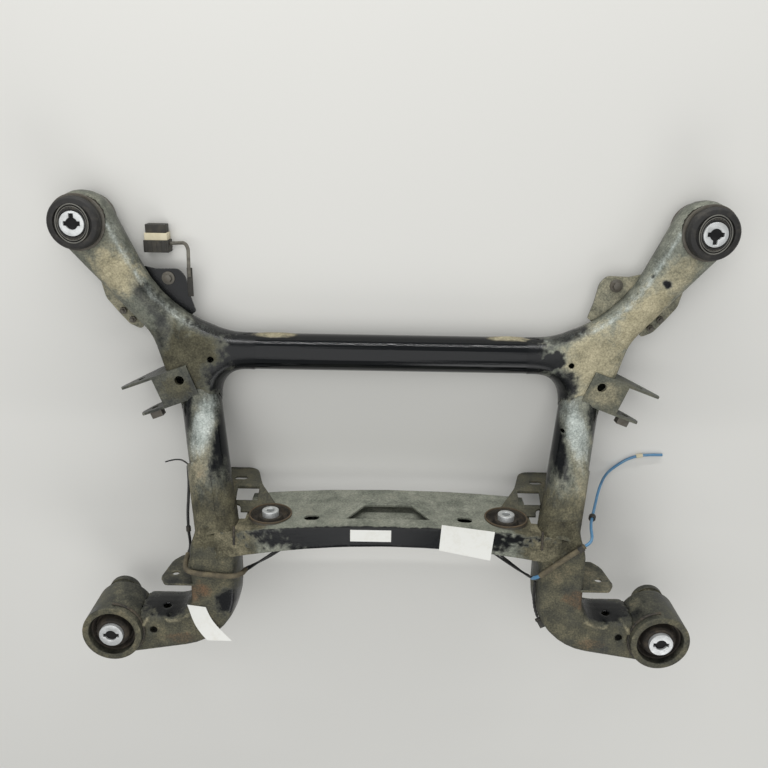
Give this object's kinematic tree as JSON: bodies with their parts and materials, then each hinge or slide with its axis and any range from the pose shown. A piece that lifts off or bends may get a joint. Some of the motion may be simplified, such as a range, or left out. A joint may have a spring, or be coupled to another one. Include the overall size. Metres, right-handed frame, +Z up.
{
  "type": "rear axle subframe",
  "caption": "Rear axle subframe: pressed arms and feet on a round cross tube, leg tubes and a bowed box crossmember, with rubber bushes for the body and the differential.",
  "frame": {"origin": "on the floor plane, under the middle of the four body bush axes", "axes": "+X across the vehicle, +Y towards the vehicle's front, +Z up along the body bush axes"},
  "size_m": [1.1, 0.7745, 0.204],
  "materials": {
    "dusty_paint": "black paint under dried mud and road dust",
    "black_paint": "satin black dip paint, scuffed",
    "rusty_steel": "black paint gone to brown rust",
    "bare_steel": "dull plated steel",
    "bush_rubber": "matt moulded rubber",
    "core_aluminium": "cast and machined",
    "conduit_brown": "ribbed tube, dusty",
    "lead_black": "moulded",
    "lead_blue": "faded sheath",
    "cream_plastic": "moulded, yellowed"
  },
  "bodies": {
    "root": {"front_cross_tube": "black_paint", "left_arm_upper_shell": "dusty_paint", "right_arm_upper_shell": "dusty_paint", "left_arm_lower_shell": "dusty_paint", "right_arm_lower_shell": "dusty_paint", "left_leg_tube": "black_paint", "right_leg_tube": "black_paint", "crossmember_channel": "black_paint", "crossmember_closing_plate": "black_paint", "left_toe_link_bracket": "dusty_paint", "right_toe_link_bracket": "dusty_paint", "left_foot_upper_shell": "dusty_paint", "right_foot_upper_shell": "dusty_paint", "left_foot_lower_shell": "dusty_paint", "right_foot_lower_shell": "dusty_paint", "left_foot_ring": "dusty_paint", "right_foot_ring": "dusty_paint", "left_bump_stop_cup": "dusty_paint", "right_bump_stop_cup": "dusty_paint", "left_link_clevis": "dusty_paint", "right_link_clevis": "dusty_paint", "left_lower_link_plate": "rusty_steel", "right_lower_link_plate": "rusty_steel", "left_sensor_bracket": "dusty_paint", "right_sensor_bracket": "dusty_paint", "left_stud_flange": "dusty_paint", "right_stud_flange": "dusty_paint", "left_front_bush_sleeve": "bare_steel", "right_front_bush_sleeve": "bare_steel", "left_front_bush_rubber": "bush_rubber", "right_front_bush_rubber": "bush_rubber", "left_front_bush_core": "core_aluminium", "right_front_bush_core": "core_aluminium", "left_rear_bush_rubber": "bush_rubber", "right_rear_bush_rubber": "bush_rubber", "left_rear_bush_core": "core_aluminium", "right_rear_bush_core": "core_aluminium", "left_diff_bush_sleeve": "bare_steel", "right_diff_bush_sleeve": "bare_steel", "left_diff_bush_rubber": "bush_rubber", "right_diff_bush_rubber": "bush_rubber", "left_diff_bush_core": "core_aluminium", "right_diff_bush_core": "core_aluminium", "clevis_nuts": "dusty_paint", "sensor_bracket_bolts": "bare_steel", "stud_flange_nuts": "bare_steel", "left_loom_lead": "lead_black", "left_loom_conduit": "conduit_brown", "right_loom_conduit": "conduit_brown", "loom_clips": "lead_black", "loom_strap": "lead_black", "blue_lead": "lead_blue", "lead_tape": "cream_plastic", "lead_clip": "lead_black", "sensor_strip": "black_paint", "sensor_lead": "lead_black", "sensor_connector": "lead_black", "connector_lock": "cream_plastic"}
  },
  "joints": []
}
